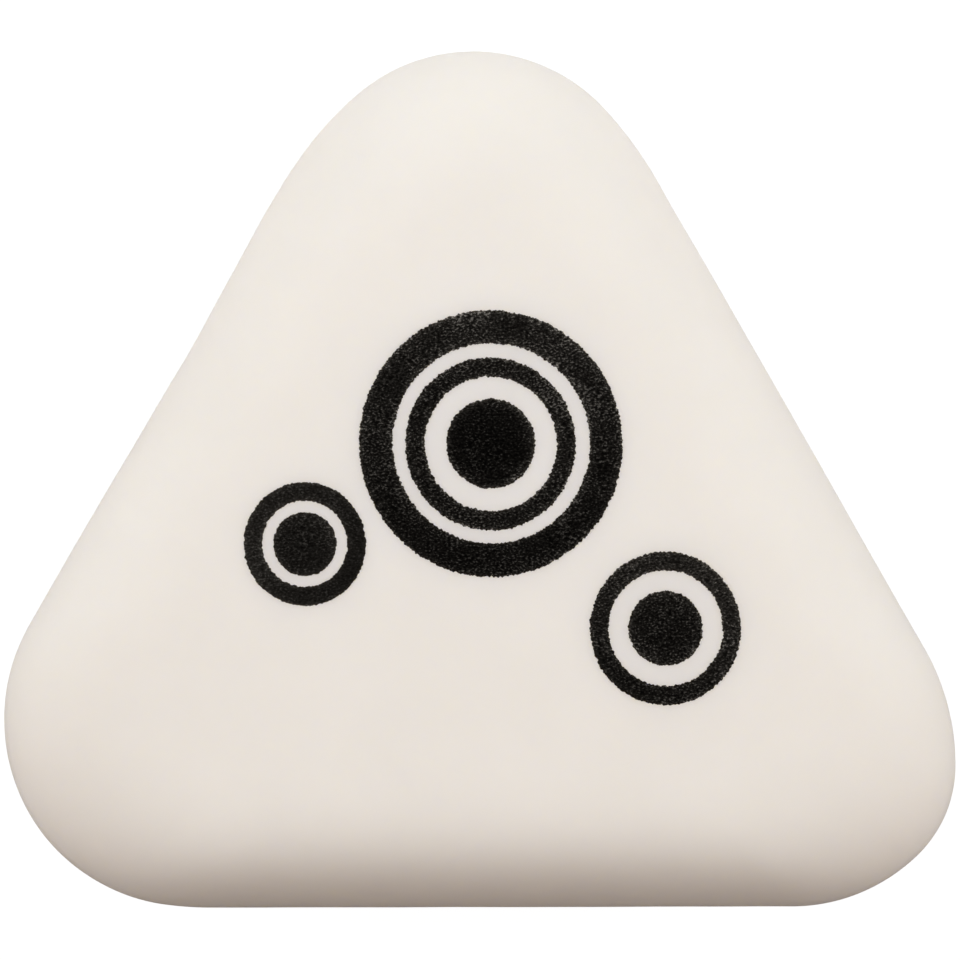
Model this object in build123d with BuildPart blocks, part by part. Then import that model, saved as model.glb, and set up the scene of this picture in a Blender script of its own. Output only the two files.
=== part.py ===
from build123d import *
import math
import os

# Block eraser: one moulded vinyl body, a rounded triangle with soft edges and a
# slightly crowned face, and seven thin islands of printed ink on that face.
# It lies on its flat back: +Z is the printed face, +Y the apex, +X the right.
# The origin is under the middle of the outline's box, on the resting face.

# ---------------------------------------------------------------- driving sizes
THICKNESS = 15.0          # back to the top of the crown
EDGE_RADIUS = 5.3         # soft edge, front and back
CROWN_RADIUS = 150.0      # sphere that the face is part of

CENTRE_X = -0.455         # middle of the triangle in the part's frame
CENTRE_Y = -3.803

# distance of each straight side from the middle, and the way it faces (degrees)
SIDE_BOTTOM = (16.889, 270.12)
SIDE_RIGHT = (16.909, 29.74)
SIDE_LEFT = (16.869, 150.00)

# each corner is a chain of tangent arcs, counter-clockwise: (radius, sweep)
CORNER_RIGHT = ((8.770, 43.6), (6.087, 45.82), (11.328, 30.2))
CORNER_APEX = ((19.104, 13.5), (8.627, 88.06), (16.687, 18.7))
CORNER_LEFT = ((9.298, 33.1), (9.016, 79.02), (15.361, 8.0))

INK = 0.05                # film thickness

# printed rings and dots: centre x, centre y, outer radius, inner radius
LARGE_OUTER_RING = (0.520, 1.712, 6.372, 4.780)
LARGE_MIDDLE_RING = (0.505, 1.696, 4.128, 3.198)
LARGE_CENTRE_DOT = (0.520, 1.719, 2.150, 0.0)
LEFT_RING = (-8.420, -3.106, 2.957, 2.055)
LEFT_DOT = (-8.417, -3.110, 1.523, 0.0)
RIGHT_RING = (8.912, -7.168, 3.660, 2.765)
RIGHT_DOT = (8.919, -7.160, 1.791, 0.0)

CROWN_CENTRE = (CENTRE_X, CENTRE_Y, THICKNESS - CROWN_RADIUS)


def facing(angle):
    return math.cos(math.radians(angle)), math.sin(math.radians(angle))


def corner_arcs(side_a, side_b, chain):
    """Centres and angles of a corner's arcs, tangent to both sides."""
    angle = side_a[1]
    x = y = 0.0
    arcs = []
    for radius, sweep in chain:
        nx, ny = facing(angle)
        cx, cy = x - radius * nx, y - radius * ny
        arcs.append((cx, cy, radius, angle, sweep))
        angle += sweep
        nx, ny = facing(angle)
        x, y = cx + radius * nx, cy + radius * ny
    # place the start so that the chain begins on one side and ends on the other
    ax, ay = facing(side_a[1])
    bx, by = facing(side_b[1])
    ha = side_a[0]
    hb = side_b[0] - (x * bx + y * by)
    det = ax * by - ay * bx
    sx = (ha * by - hb * ay) / det + CENTRE_X
    sy = (ax * hb - bx * ha) / det + CENTRE_Y
    return [(cx + sx, cy + sy, r, a, s) for cx, cy, r, a, s in arcs]


def arc_end(arc, at):
    cx, cy, radius, angle, sweep = arc
    nx, ny = facing(angle + sweep * at)
    return cx + radius * nx, cy + radius * ny


right = corner_arcs(SIDE_BOTTOM, SIDE_RIGHT, CORNER_RIGHT)
apex = corner_arcs(SIDE_RIGHT, SIDE_LEFT, CORNER_APEX)
left = corner_arcs(SIDE_LEFT, SIDE_BOTTOM, CORNER_LEFT)

os.makedirs("parts", exist_ok=True)

# ---------------------------------------------------------------- moulded body
with BuildPart() as eraser_body:
    with BuildSketch(Plane.XY) as outline:
        with BuildLine():
            for corner, following in ((right, apex), (apex, left), (left, right)):
                for cx, cy, radius, angle, sweep in corner:
                    CenterArc((cx, cy), radius, angle, sweep)
                Line(arc_end(corner[-1], 1.0), arc_end(following[0], 0.0))
        make_face()
    extrude(amount=THICKNESS + 1.0)
    # the crowned face: part of a large sphere over the middle of the triangle
    with Locations(CROWN_CENTRE):
        Sphere(CROWN_RADIUS, rotation=(0, 90, 0), mode=Mode.INTERSECT)
    face_rim = eraser_body.faces().sort_by(Axis.Z)[-1].edges()
    back_rim = eraser_body.faces().sort_by(Axis.Z)[0].edges()
    fillet(face_rim, EDGE_RADIUS)
    fillet(back_rim, EDGE_RADIUS)
eraser_body.part.label = "eraser_body"
export_step(eraser_body.part, "parts/eraser_body.step")


# ---------------------------------------------------------------- printed ink
def ink_island(x, y, outer, inner):
    """A thin island of ink that lies on the crown and follows it."""
    with BuildPart() as island:
        with BuildSketch(Plane.XY.offset(THICKNESS - 4.0)):
            with Locations((x, y)):
                Circle(outer)
                if inner > 0.0:
                    Circle(inner, mode=Mode.SUBTRACT)
        extrude(amount=6.0)
        with Locations(CROWN_CENTRE):
            Sphere(CROWN_RADIUS + INK, rotation=(0, 90, 0), mode=Mode.INTERSECT)
            Sphere(CROWN_RADIUS, rotation=(0, 90, 0), mode=Mode.SUBTRACT)
    return island


for name, size in (
    ("large_outer_ring", LARGE_OUTER_RING),
    ("large_middle_ring", LARGE_MIDDLE_RING),
    ("large_centre_dot", LARGE_CENTRE_DOT),
    ("left_ring", LEFT_RING),
    ("left_dot", LEFT_DOT),
    ("right_ring", RIGHT_RING),
    ("right_dot", RIGHT_DOT),
):
    island = ink_island(*size)
    island.part.label = name
    export_step(island.part, f"parts/{name}.step")
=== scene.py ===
import math

import bpy
import numpy as np
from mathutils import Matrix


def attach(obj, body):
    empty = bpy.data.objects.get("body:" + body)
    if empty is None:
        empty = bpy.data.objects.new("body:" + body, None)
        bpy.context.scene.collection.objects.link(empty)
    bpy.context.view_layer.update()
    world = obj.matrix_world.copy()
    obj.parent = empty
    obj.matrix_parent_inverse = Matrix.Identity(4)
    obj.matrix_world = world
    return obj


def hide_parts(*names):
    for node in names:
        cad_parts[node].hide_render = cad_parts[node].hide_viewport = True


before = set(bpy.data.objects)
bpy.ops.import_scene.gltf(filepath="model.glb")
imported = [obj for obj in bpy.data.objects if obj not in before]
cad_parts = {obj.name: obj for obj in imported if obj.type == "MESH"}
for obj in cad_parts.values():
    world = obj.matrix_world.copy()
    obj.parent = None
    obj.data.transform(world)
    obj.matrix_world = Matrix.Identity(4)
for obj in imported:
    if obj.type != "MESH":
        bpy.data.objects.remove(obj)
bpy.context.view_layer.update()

MM = 0.001

# ---------------------------------------------------------------------------
# sizes, in millimetres, the same as the construction's
# ---------------------------------------------------------------------------
THICK = 15.0
CROWN_R = 150.0
CEN = np.array([-0.455, -3.803])

SIDES = {"bottom": (16.889, 270.12), "right": (16.909, 29.74), "left": (16.869, 150.00)}
CORNERS = (
    ("bottom", "right", ((8.770, 43.6), (6.087, 45.82), (11.328, 30.2))),
    ("right", "left", ((19.104, 13.5), (8.627, 88.06), (16.687, 18.7))),
    ("left", "bottom", ((9.298, 33.1), (9.016, 79.02), (15.361, 8.0))),
)

# where the sides bow in or out, seen from the middle: angle, height, width in degrees
UNEVEN_SIDES = (
    (121.0, 0.075, 6.0),
    (143.0, -0.100, 9.0),
    (157.0, -0.045, 10.0),
    (356.0, -0.030, 10.0),
    (60.0, -0.032, 6.0),
)

FRONT_SHARE = 0.400     # width of the front edge rounding, as a share of the way to the middle
FRONT_DEPTH = 6.368     # its depth, if it went on until it is upright
FRONT_START = 3.417     # 2 would be an ellipse; more lets the rounding start more gently
FRONT_CUT = 0.9494      # how much of that way it goes, before the bulging wall takes over
PARTING_Z = 7.95        # height of the mould's parting line, where the wall is upright
PARTING_H = 0.024       # how far its flash stands proud
BACK_SHARE = 0.300      # width of the rounding below the parting line
BACK_FULL = 2.50        # 2 would be an ellipse; more makes it fuller

# printed islands: name, centre, outer and inner radius, how far the inner edge is
# off centre, raggedness of the edge, relief of the grain, middle tone of the ink,
# spread of its tones (its lightest specks partly painted glints), share of that spread
# in large patches, how much paler the ink is where it thins out along its edges,
# and how it gets paler across the island
INK = (
    ("large_outer_ring", (0.520, 1.712), 6.372, 4.780, (0.024, 0.020), 1.30, 1.00, 0.0061, 0.83, 0.035, 2.0, (0.01, 0.49)),
    ("large_middle_ring", (0.505, 1.696), 4.128, 3.198, (0.012, 0.004), 1.30, 0.90, 0.0067, 0.86, 0.010, 2.0, (0.12, 0.11)),
    ("large_centre_dot", (0.520, 1.719), 2.150, 0.0, (0.0, 0.0), 1.20, 0.65, 0.0036, 0.83, 0.015, 5.8, (0.26, 0.10)),
    ("left_ring", (-8.420, -3.106), 2.957, 2.055, (-0.004, 0.006), 1.05, 0.80, 0.0093, 0.39, 0.04, 1.0, (-0.22, 0.07)),
    ("left_dot", (-8.417, -3.110), 1.523, 0.0, (0.0, 0.0), 0.95, 0.75, 0.0077, 0.52, 0.025, 1.4, (0.15, 0.0)),
    ("right_ring", (8.912, -7.168), 3.660, 2.765, (0.014, 0.010), 1.20, 0.85, 0.0088, 0.76, 0.025, 1.1, (0.24, 0.50)),
    ("right_dot", (8.919, -7.160), 1.791, 0.0, (0.0, 0.0), 1.20, 0.70, 0.0061, 0.85, 0.008, 2.3, (-0.10, 0.08)),
)

# ---------------------------------------------------------------------------
# helpers
# ---------------------------------------------------------------------------
class Grain:
    """Smooth two-way gradient noise, the same on every run."""

    def __init__(self, seed):
        a = np.random.default_rng(seed).uniform(0, 2 * np.pi, (256, 256))
        self.gx, self.gy = np.cos(a), np.sin(a)

    def __call__(self, x, y):
        x, y = np.asarray(x, float), np.asarray(y, float)
        i, j = np.floor(x).astype(int), np.floor(y).astype(int)
        fx, fy = x - i, y - j
        u = fx ** 3 * (fx * (fx * 6 - 15) + 10)
        v = fy ** 3 * (fy * (fy * 6 - 15) + 10)

        def corner(di, dj):
            p, q = (i + di) % 256, (j + dj) % 256
            return self.gx[p, q] * (fx - di) + self.gy[p, q] * (fy - dj)

        low = corner(0, 0) * (1 - u) + corner(1, 0) * u
        high = corner(0, 1) * (1 - u) + corner(1, 1) * u
        return (low * (1 - v) + high * v) * 1.4


def facing(deg):
    return np.array([math.cos(math.radians(deg)), math.sin(math.radians(deg))])


def outline():
    """Points of the outline, counter-clockwise, dense on the corners."""
    corners = []
    for a, b, chain in CORNERS:
        angle, p, arcs = SIDES[a][1], np.zeros(2), []
        for radius, sweep in chain:
            c = p - radius * facing(angle)
            arcs.append((c, radius, angle, sweep))
            angle += sweep
            p = c + radius * facing(angle)
        na, nb = facing(SIDES[a][1]), facing(SIDES[b][1])
        start = np.linalg.solve(
            np.array([na, nb]), [SIDES[a][0], SIDES[b][0] - p @ nb]
        )
        corners.append([(c + start + CEN, r, t, s) for c, r, t, s in arcs])
    pts = []
    for k, arcs in enumerate(corners):
        for c, r, t, s in arcs:
            n = max(6, int(round(s / 1.2)))
            for q in range(n):
                pts.append(c + r * facing(t + s * q / n))
        c, r, t, s = arcs[-1]
        a = c + r * facing(t + s)
        c, r, t, s = corners[(k + 1) % 3][0]
        b = c + r * facing(t)
        n = 56
        for q in range(n):
            pts.append(a + (b - a) * q / n)
    pts = np.array(pts)
    # the soft moulding isn't quite straight: shallow hollows and swells of its sides
    ahead = np.roll(pts, -1, 0) - np.roll(pts, 1, 0)
    out = np.column_stack([ahead[:, 1], -ahead[:, 0]])
    out /= np.linalg.norm(out, axis=1, keepdims=True)
    angle = np.degrees(np.arctan2(pts[:, 1] - CEN[1], pts[:, 0] - CEN[0]))
    for at, height, width in UNEVEN_SIDES:
        away = (angle - at + 180) % 360 - 180
        pts = pts + out * (height * np.exp(-((away / width) ** 2)))[:, None]
    return pts


def crown(x, y):
    """Height of the crowned face over a point."""
    r2 = (x - CEN[0]) ** 2 + (y - CEN[1]) ** 2
    return THICK - CROWN_R + np.sqrt(CROWN_R ** 2 - r2)


_soft_a, _soft_b = Grain(11), Grain(12)


def unevenness(x, y, z):
    """Faint waviness of a soft moulding, in millimetres."""
    return 0.0045 * _soft_a(x / 5.5 + 0.31 * z, y / 5.5) + 0.0016 * _soft_b(
        x / 1.9, y / 1.9 + 0.4 * z
    )


def mesh_object(name, verts, faces, smooth=True):
    me = bpy.data.meshes.new(name)
    me.from_pydata([tuple(v) for v in np.asarray(verts) * MM], [], faces)
    me.validate()
    me.update()
    if smooth:
        me.polygons.foreach_set("use_smooth", [True] * len(me.polygons))
    ob = bpy.data.objects.new(name, me)
    bpy.context.scene.collection.objects.link(ob)
    return ob


# ---------------------------------------------------------------------------
# moulded body: rows of scaled outlines from the middle of the face, over the
# soft edge to the parting line and round below it to the flat back
# ---------------------------------------------------------------------------
def make_body():
    out = outline()
    n = len(out)
    length = np.linalg.norm(out - CEN, axis=1)
    away = (out - CEN) / length[:, None]
    # the flash makes up the last of the width
    out = out - away * (0.5 * PARTING_H)
    arm = out - CEN
    rows = []

    def row(share, z):
        rows.append(np.column_stack([CEN + arm * np.reshape(share, (-1, 1)), z]))

    def crown_at(share):
        p = CEN + arm * np.reshape(share, (-1, 1))
        return crown(p[:, 0], p[:, 1])

    # the rounding runs out into a wall that bulges down to the parting line
    full = FRONT_CUT ** FRONT_START
    drop = FRONT_DEPTH * (1 - math.sqrt(1 - full))
    fall = FRONT_DEPTH * FRONT_START / 2 * full / math.sqrt(1 - full) / FRONT_SHARE
    end = np.ones(n)
    for _ in range(8):
        end = 1 - (crown_at(end) - drop - PARTING_Z) / (2 * fall)
    start = end - FRONT_SHARE

    for f in np.linspace(0, 1, 34)[1:]:
        row(start * f, crown_at(start * f))
    for phi in np.linspace(0, math.asin(FRONT_CUT), 45)[1:]:
        t = math.sin(phi)
        share = start + FRONT_SHARE * t / FRONT_CUT
        row(share, crown_at(share) - FRONT_DEPTH * (1 - math.sqrt(1 - t ** FRONT_START)))
    high = rows[-1][:, 2] - PARTING_Z
    for f in np.linspace(1, 0, 13)[1:-1]:
        row(1 - (1 - end) * f * f, PARTING_Z + high * f)
    # the thin flash of the parting line
    flash = 1.0 + 0.45 * Grain(21)(out[:, 0] / 3.1, out[:, 1] / 3.1)
    for step in (0.06, 0.04, 0.02, 0.0, -0.02, -0.04, -0.06, -0.10):
        bump = PARTING_H * flash * math.exp(-((step / 0.03) ** 2))
        row(1 + bump / length, np.full(n, PARTING_Z + step))
    # below it the body curves under to the flat back
    back = 1 - BACK_SHARE
    for psi in np.radians(np.linspace(0, 90, 45)[1:]):
        u = max(0.0, math.cos(psi)) ** (2 / BACK_FULL)
        v = math.sin(psi) ** (2 / BACK_FULL)
        row(np.full(n, back + BACK_SHARE * u), np.full(n, PARTING_Z * (1 - v)))
    for share in np.linspace(back, 0, 14)[1:-1]:
        row(np.full(n, share), np.zeros(n))

    grid = np.array(rows)
    # faint waviness, fading out towards the flat back
    fade = np.clip((grid[:, :, 2] - 0.3) / 3.0, 0, 1)
    wave = unevenness(grid[:, :, 0], grid[:, :, 1], grid[:, :, 2]) * fade
    du = np.gradient(grid, axis=0)
    dv = np.roll(grid, -1, 1) - np.roll(grid, 1, 1)
    normal = np.cross(du, dv)
    normal /= np.linalg.norm(normal, axis=2, keepdims=True) + 1e-12
    grid = grid + normal * wave[:, :, None]
    top = np.array([[CEN[0], CEN[1], THICK + unevenness(CEN[0], CEN[1], THICK)]])
    low = np.array([[CEN[0], CEN[1], 0.0]])

    m = len(grid)
    verts = np.vstack([top, grid.reshape(-1, 3), low])
    faces = []
    for i in range(n):
        j = (i + 1) % n
        faces.append((0, 1 + i, 1 + j))
        for r in range(m - 1):
            a = 1 + r * n
            faces.append((a + i, a + n + i, a + n + j, a + j))
        a = 1 + (m - 1) * n
        faces.append((a + i, 1 + m * n, a + j))
    return mesh_object("eraser_vinyl_body", verts, faces)


# ---------------------------------------------------------------------------
# printed ink: ragged islands with a grainy top, lying on the face
# ---------------------------------------------------------------------------
FILM = 0.020            # mean height of the ink over the face
CELL = 0.042            # mesh spacing across a ring
CELL_ROUND = 0.030      # and round it


def make_ink(index, name, centre, outer, inner, shift, ragged_by, relief):
    edge = [Grain(100 + 10 * index + k) for k in range(4)]
    bump = [Grain(300 + 10 * index + k) for k in range(3)]
    na = int(round(2 * math.pi * outer / CELL_ROUND))
    nr = max(8, int(round((outer - inner) / CELL)))
    th = np.linspace(0, 2 * np.pi, na, endpoint=False)
    ux, uy = np.cos(th), np.sin(th)

    def ragged(radius, where):
        x, y = radius * ux + where, radius * uy - where
        return radius + ragged_by * (
            0.042 * edge[0](x / 0.105, y / 0.105)
            + 0.034 * edge[1](x / 0.19, y / 0.19)
            + 0.016 * edge[2](x / 0.45, y / 0.45)
            + 0.016 * edge[3](x / 1.4, y / 1.4)
        )

    r_out = ragged(outer, 3.7)
    r_in = ragged(inner, 9.1) + shift[0] * ux + shift[1] * uy if inner > 0 else np.zeros(na)
    steps = np.linspace(0, 1, nr + 1)
    if inner <= 0:
        steps = steps[1:]
    radius = r_in[None, :] + steps[:, None] * (r_out - r_in)[None, :]
    # the print is a little taller than wide, leaning slightly
    lean = math.radians(12)
    c, s = math.cos(lean), math.sin(lean)
    px, py = radius * ux, radius * uy
    qx, qy = (px * c + py * s) * 0.9925, (-px * s + py * c) * 1.0075
    x = centre[0] + qx * c - qy * s
    y = centre[1] + qx * s + qy * c

    base = crown(x, y) + unevenness(x, y, crown(x, y))
    near = np.minimum(
        r_out[None, :] - radius,
        (radius - r_in[None, :]) if inner > 0 else 9.0,
    )
    soft = 1 - np.exp(-np.clip(near, 0, None) / 0.03)
    grains = (
        0.62 * bump[0](x / 0.155, y / 0.155)
        + 0.30 * bump[1](x / 0.085, y / 0.085)
        + 0.45 * bump[2](x / 0.42, y / 0.42)
    )
    film = 0.004 + (FILM + 0.0125 * relief * grains) * (0.25 + 0.75 * soft)
    top = np.column_stack([x.ravel(), y.ravel(), (base + np.maximum(film, 0.003)).ravel()])

    rows = len(steps)
    sunk = 0.03
    outer_low = np.column_stack([x[-1], y[-1], base[-1] - sunk])
    verts = [top]
    faces = []

    def at(r, i):
        return r * na + i % na

    for r in range(rows - 1):
        for i in range(na):
            faces.append((at(r, i), at(r + 1, i), at(r + 1, i + 1), at(r, i + 1)))
    lo = rows * na
    verts.append(outer_low)
    for i in range(na):
        faces.append((at(rows - 1, i), lo + i, lo + (i + 1) % na, at(rows - 1, i + 1)))
    if inner > 0:
        inner_low = np.column_stack([x[0], y[0], base[0] - sunk])
        verts.append(inner_low)
        li = lo + na
        for i in range(na):
            j = (i + 1) % na
            faces.append((at(0, i), at(0, i + 1), li + j, li + i))
            faces.append((lo + i, li + i, li + j, lo + j))
    else:
        z = float(crown(centre[0], centre[1]))
        verts.append(np.array([[centre[0], centre[1], z + 0.004 + FILM]]))
        verts.append(np.array([[centre[0], centre[1], z - sunk]]))
        up, down = lo + na, lo + na + 1
        for i in range(na):
            j = (i + 1) % na
            faces.append((up, at(0, i), at(0, i + 1)))
            faces.append((lo + i, down, lo + j))
    ob = mesh_object("printed_" + name, np.vstack(verts), faces)
    # how far each point of the top is from the island's edge, for the material
    depth = np.zeros(len(ob.data.vertices))
    depth[: near.size] = np.clip(near, 0, 3).ravel()
    if inner <= 0:
        depth[-2:] = outer
    ob.data.attributes.new("edge_depth", "FLOAT", "POINT").data.foreach_set("value", depth)
    return ob


# ---------------------------------------------------------------------------
# materials
# ---------------------------------------------------------------------------
def node(tree, kind, **values):
    n = tree.nodes.new(kind)
    for k, v in values.items():
        setattr(n, k, v)
    return n


def new_material(name):
    m = bpy.data.materials.new(name)
    m.use_nodes = True
    t = m.node_tree
    return m, t, t.nodes["Principled BSDF"]


def ramp(tree, fac, stops):
    r = node(tree, "ShaderNodeValToRGB")
    while len(r.color_ramp.elements) < len(stops):
        r.color_ramp.elements.new(0.5)
    for e, (pos, col) in zip(r.color_ramp.elements, stops):
        e.position = pos
        e.color = (*col, 1.0) if len(col) == 3 else col
    tree.links.new(fac, r.inputs["Fac"])
    return r.outputs["Color"]


def noise(tree, coord, scale, detail=2.0, rough=0.5):
    n = node(tree, "ShaderNodeTexNoise")
    n.inputs["Scale"].default_value = scale
    n.inputs["Detail"].default_value = detail
    n.inputs["Roughness"].default_value = rough
    tree.links.new(coord, n.inputs["Vector"])
    return n.outputs["Fac"]


def vinyl():
    m, t, p = new_material("eraser_vinyl_white")
    coord = node(t, "ShaderNodeTexCoord").outputs["Object"]
    cloud = noise(t, coord, 190.0, 3.0, 0.55)
    colour = ramp(
        t, cloud, ((0.30, (0.868, 0.829, 0.785)), (0.70, (0.887, 0.847, 0.803)))
    )
    t.links.new(colour, p.inputs["Base Color"])
    fine = noise(t, coord, 6500.0, 2.0, 0.6)
    rough = ramp(t, fine, ((0.25, (0.52,) * 3), (0.75, (0.62,) * 3)))
    t.links.new(rough, p.inputs["Roughness"])
    b = node(t, "ShaderNodeBump")
    b.inputs["Strength"].default_value = 0.06
    b.inputs["Distance"].default_value = 0.00002
    t.links.new(fine, b.inputs["Height"])
    t.links.new(b.outputs["Normal"], p.inputs["Normal"])
    p.inputs["IOR"].default_value = 1.48
    p.inputs["Specular IOR Level"].default_value = 0.10
    p.inputs["Sheen Weight"].default_value = 0.12
    p.inputs["Sheen Roughness"].default_value = 0.45
    p.inputs["Sheen Tint"].default_value = (1.0, 0.97, 0.93, 1.0)
    p.subsurface_method = "RANDOM_WALK"
    p.inputs["Subsurface Weight"].default_value = 0.43
    p.inputs["Subsurface Radius"].default_value = (1.0, 0.95, 0.68)
    p.inputs["Subsurface Scale"].default_value = 0.0025
    return m


def math_node(tree, kind, *values):
    n = node(tree, "ShaderNodeMath", operation=kind)
    for k, v in enumerate(values):
        if isinstance(v, (int, float)):
            n.inputs[k].default_value = v
        else:
            tree.links.new(v, n.inputs[k])
    return n.outputs[0]


def ink(name, centre, outer, inner, middle, spread, patchy, thin, across):
    m, t, p = new_material(name)
    coord = node(t, "ShaderNodeTexCoord").outputs["Object"]
    # the grain is a little longer across than up
    drawn = node(t, "ShaderNodeVectorMath", operation="MULTIPLY")
    t.links.new(coord, drawn.inputs[0])
    drawn.inputs[1].default_value = (0.95, 1.40, 1.0)
    grain = noise(t, drawn.outputs[0], 8200.0, 2.0, 0.6)
    # the print took better in some places than in others
    patch = noise(t, coord, 430.0, 2.0, 0.5)
    gain = node(t, "ShaderNodeMapRange")
    gain.inputs["From Min"].default_value = 0.35
    gain.inputs["From Max"].default_value = 0.65
    gain.inputs["To Min"].default_value = 0.85 * math.sqrt(1 - patchy)
    gain.inputs["To Max"].default_value = 1.15 * math.sqrt(1 - patchy)
    t.links.new(patch, gain.inputs["Value"])
    # the lighter specks of the grain are partly the ink's own grain and partly painted glints, light caught by its
    # tiny bumps
    speckle_and_painted_glints = math_node(
        t, "MULTIPLY", math_node(t, "SUBTRACT", grain, 0.5), gain.outputs["Result"]
    )
    tone = math_node(
        t,
        "ADD",
        math_node(
            t, "MULTIPLY_ADD", math_node(t, "SUBTRACT", patch, 0.5), math.sqrt(patchy), 0.5
        ),
        speckle_and_painted_glints,
    )
    stops = []
    # the brightest stop lifts the lightest specks further still: painted glints
    for z in (-2.4, -1.6, -0.8, 0.0, 0.8, 1.6, 2.4):
        v = middle * math.exp(spread * z * (0.72 + 0.10 * abs(z))) * (1.5 if z > 2 else 1.0)
        stops.append((0.5 + 0.075 * z, (v * (1.09 - 0.012 * z), v, v * (0.88 + 0.016 * z))))
    colour = ramp(t, tone, stops)
    # along its edges the film thins out and the vinyl shows through
    depth = node(t, "ShaderNodeAttribute", attribute_name="edge_depth").outputs["Fac"]
    paler = math_node(
        t,
        "MULTIPLY_ADD",
        math_node(t, "EXPONENT", math_node(t, "MULTIPLY", depth, -1 / 0.13)),
        thin,
        1.0,
    )
    # and it is fuller towards the middle of the film; across the island it gets paler towards one side
    off = node(t, "ShaderNodeVectorMath", operation="SUBTRACT")
    off.inputs[1].default_value = (centre[0] * MM, centre[1] * MM, 0.0)
    t.links.new(coord, off.inputs[0])
    slope = node(t, "ShaderNodeVectorMath", operation="DOT_PRODUCT")
    slope.inputs[1].default_value = (across[0] / (outer * MM), across[1] / (outer * MM), 0.0)
    t.links.new(off.outputs[0], slope.inputs[0])
    deep = (outer - inner) / 4 if inner > 0 else outer / 3
    fuller = math_node(t, "MULTIPLY_ADD", depth, -0.22, 0.22 * deep)
    paler = math_node(
        t,
        "MULTIPLY",
        paler,
        math_node(t, "EXPONENT", math_node(t, "ADD", slope.outputs["Value"], fuller)),
    )
    whole = node(t, "ShaderNodeVectorMath", operation="SCALE")
    t.links.new(colour, whole.inputs[0])
    t.links.new(paler, whole.inputs["Scale"])
    fringe = node(t, "ShaderNodeVectorMath", operation="SCALE")
    fringe.inputs[0].default_value = (0.042, 0.031, 0.021)
    t.links.new(
        math_node(t, "EXPONENT", math_node(t, "MULTIPLY", depth, -1 / 0.025)),
        fringe.inputs["Scale"],
    )
    final = node(t, "ShaderNodeVectorMath", operation="ADD")
    t.links.new(whole.outputs[0], final.inputs[0])
    t.links.new(fringe.outputs[0], final.inputs[1])
    t.links.new(final.outputs[0], p.inputs["Base Color"])
    rough = ramp(t, tone, ((0.3, (0.74,) * 3), (0.8, (0.58,) * 3)))
    t.links.new(rough, p.inputs["Roughness"])
    b = node(t, "ShaderNodeBump")
    b.inputs["Strength"].default_value = 0.35
    b.inputs["Distance"].default_value = 0.00002
    t.links.new(grain, b.inputs["Height"])
    t.links.new(b.outputs["Normal"], p.inputs["Normal"])
    p.inputs["IOR"].default_value = 1.5
    p.inputs["Specular IOR Level"].default_value = 0.005
    return m


# ---------------------------------------------------------------------------
# the object
# ---------------------------------------------------------------------------
body = make_body()
body.data.materials.append(vinyl())
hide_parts("eraser_body")
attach(body, "root")

for index, (name, *shape, middle, spread, patchy, thin, across) in enumerate(INK):
    piece = make_ink(index, name, *shape)
    piece.data.materials.append(
        ink("printing_ink_" + name, *shape[:3], middle, spread, patchy, thin, across)
    )
    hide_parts(name)
    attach(piece, "root")

# ---------------------------------------------------------------------------
# floor, light and camera
# ---------------------------------------------------------------------------
CARD_BEHIND = 0.80       # the table throws light back up behind the object
CARD_IN_FRONT = 0.04     # and next to none in front of it


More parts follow.
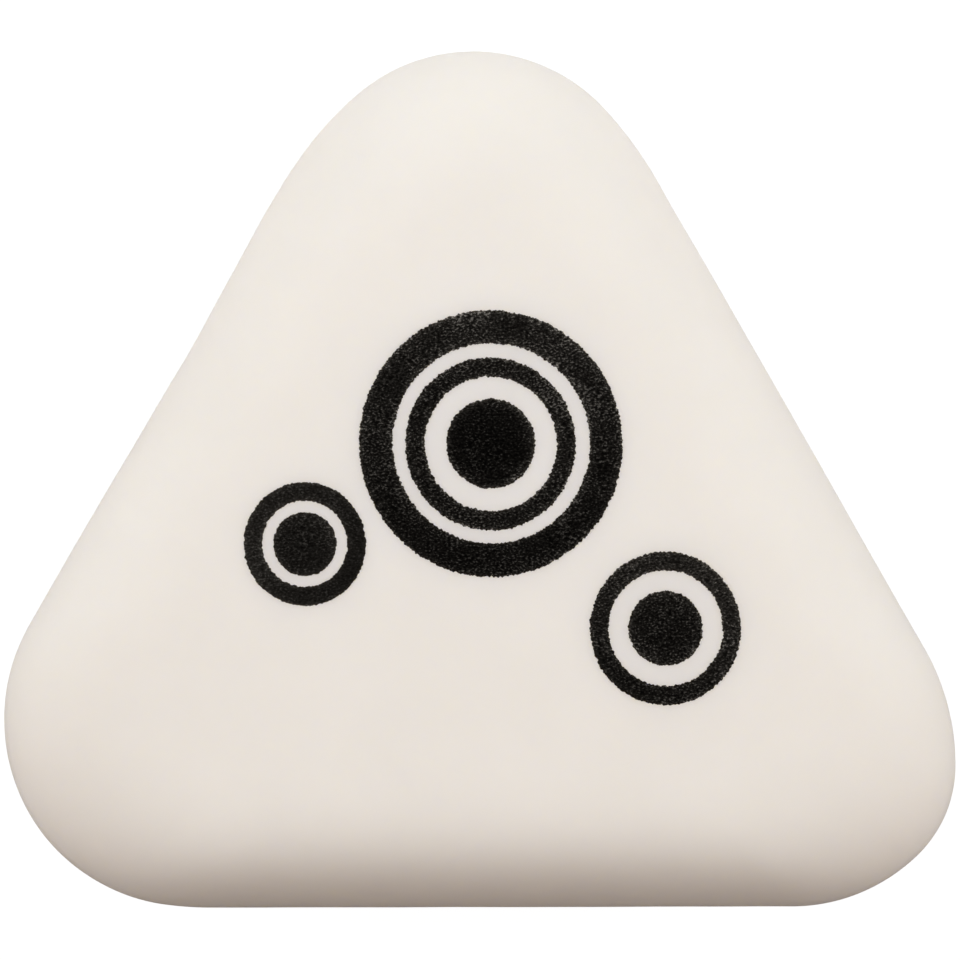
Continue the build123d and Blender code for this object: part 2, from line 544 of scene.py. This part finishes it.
def make_floor():
    me = bpy.data.meshes.new("floor")
    h = 1.5
    z = -0.00002
    me.from_pydata([(-h, -h, z), (h, -h, z), (h, h, z), (-h, h, z)], [], [(0, 1, 2, 3)])
    ob = bpy.data.objects.new("floor", me)
    bpy.context.scene.collection.objects.link(ob)
    m = bpy.data.materials.new("floor_pale")
    m.use_nodes = True
    t = m.node_tree
    p = t.nodes["Principled BSDF"]
    along = node(t, "ShaderNodeSeparateXYZ")
    t.links.new(node(t, "ShaderNodeTexCoord").outputs["Object"], along.inputs[0])
    aside = node(t, "ShaderNodeMath", operation="ABSOLUTE")
    t.links.new(along.outputs["X"], aside.inputs[0])
    slant = node(t, "ShaderNodeMath", operation="MULTIPLY_ADD")
    slant.inputs[1].default_value = 0.35
    t.links.new(aside.outputs[0], slant.inputs[0])
    t.links.new(along.outputs["Y"], slant.inputs[2])
    where = node(t, "ShaderNodeMapRange")
    where.inputs["From Min"].default_value = -0.022
    where.inputs["From Max"].default_value = 0.026
    t.links.new(slant.outputs[0], where.inputs["Value"])
    card = ramp(
        t, where.outputs["Result"], ((0.0, (CARD_IN_FRONT,) * 3), (1.0, (CARD_BEHIND,) * 3))
    )
    t.links.new(card, p.inputs["Base Color"])
    p.inputs["Roughness"].default_value = 0.9
    p.inputs["Specular IOR Level"].default_value = 0.0
    # seen directly the floor glows an even white, with a painted contact shadow under the object; it throws less light
    # back up
    seen = node(t, "ShaderNodeBsdfDiffuse")
    seen.inputs["Color"].default_value = (0.10, 0.10, 0.10, 1)
    glow = node(t, "ShaderNodeEmission")
    # ambient occlusion darkens the glow where the floor lies under the object: a painted contact shadow
    under = node(t, "ShaderNodeAmbientOcclusion", samples=12)
    under.inputs["Distance"].default_value = 0.008
    painted_contact_shadow = ramp(
        t,
        under.outputs["AO"],
        ((0.05, (0.45, 0.44, 0.43)), (0.28, (0.80, 0.795, 0.79)), (0.44, (1.0, 1.0, 1.0))),
    )
    t.links.new(painted_contact_shadow, glow.inputs["Color"])
    glow.inputs["Strength"].default_value = 0.975
    both = node(t, "ShaderNodeAddShader")
    pick = node(t, "ShaderNodeMixShader")
    path = node(t, "ShaderNodeLightPath")
    t.links.new(seen.outputs[0], both.inputs[0])
    t.links.new(glow.outputs[0], both.inputs[1])
    t.links.new(path.outputs["Is Camera Ray"], pick.inputs[0])
    t.links.new(p.outputs[0], pick.inputs[1])
    t.links.new(both.outputs[0], pick.inputs[2])
    t.links.new(pick.outputs[0], t.nodes["Material Output"].inputs["Surface"])
    ob.data.materials.append(m)


make_floor()

scene = bpy.context.scene


def softbox(name, az, el, dist, width, height, power, colour=(1, 1, 1)):
    d = bpy.data.lights.new(name, "AREA")
    d.shape = "RECTANGLE"
    d.size, d.size_y = width, height
    d.energy = power
    d.color = colour
    ob = bpy.data.objects.new(name, d)
    a, e = math.radians(az), math.radians(el)
    way = np.array([math.cos(e) * math.cos(a), math.cos(e) * math.sin(a), math.sin(e)])
    ob.location = tuple(way * dist + np.array([0, 0, 0.008]))
    from mathutils import Vector

    ob.rotation_euler = (-Vector(way)).to_track_quat("-Z", "Y").to_euler()
    ob.visible_camera = False
    scene.collection.objects.link(ob)
    return ob


softbox("softbox_left", 156, 27.3, 0.50, 0.36, 0.36, 1.64, (1.0, 0.945, 0.90))
softbox("softbox_right", 22, 27.3, 0.50, 0.36, 0.36, 1.63, (1.0, 0.945, 0.90))
softbox("softbox_back", 90, 58, 0.55, 0.42, 0.42, 1.03, (0.80, 0.93, 1.0))
softbox("fill_in_front", 270, 32, 0.55, 0.50, 0.36, 0.945, (1.0, 0.828, 0.722))
softbox("fill_above", 270, 62, 0.55, 0.42, 0.42, 0.40, (0.95, 0.95, 0.92))

world = bpy.data.worlds.new("studio")
world.use_nodes = True
scene.world = world
tree = world.node_tree
bg = tree.nodes["Background"]
bg.inputs["Color"].default_value = (1, 1, 1, 1)
bg.inputs["Strength"].default_value = 0.01
wall = node(tree, "ShaderNodeBackground")
wall.inputs["Color"].default_value = (1, 1, 1, 1)
wall.inputs["Strength"].default_value = 1.0
pick = node(tree, "ShaderNodeMixShader")
path = node(tree, "ShaderNodeLightPath")
tree.links.new(path.outputs["Is Camera Ray"], pick.inputs[0])
tree.links.new(bg.outputs[0], pick.inputs[1])
tree.links.new(wall.outputs[0], pick.inputs[2])
tree.links.new(pick.outputs[0], tree.nodes["World Output"].inputs["Surface"])

cam_data = bpy.data.cameras.new("camera")
cam_data.sensor_width = 36.0
cam_data.lens = 767.0
cam = bpy.data.objects.new("camera", cam_data)
PIXEL = 46.0 / 950.63
OUTLINE_Z = PARTING_Z
reach = cam_data.lens * (960 * PIXEL) / cam_data.sensor_width
cam.location = (0.0, -0.7 * PIXEL * MM, (OUTLINE_Z + reach) * MM)
cam.rotation_euler = (0.0, 0.0, 0.0)
cam_data.clip_start, cam_data.clip_end = 0.05, 10.0
scene.collection.objects.link(cam)
scene.camera = cam

scene.view_settings.view_transform = "Standard"
scene.view_settings.look = "None"
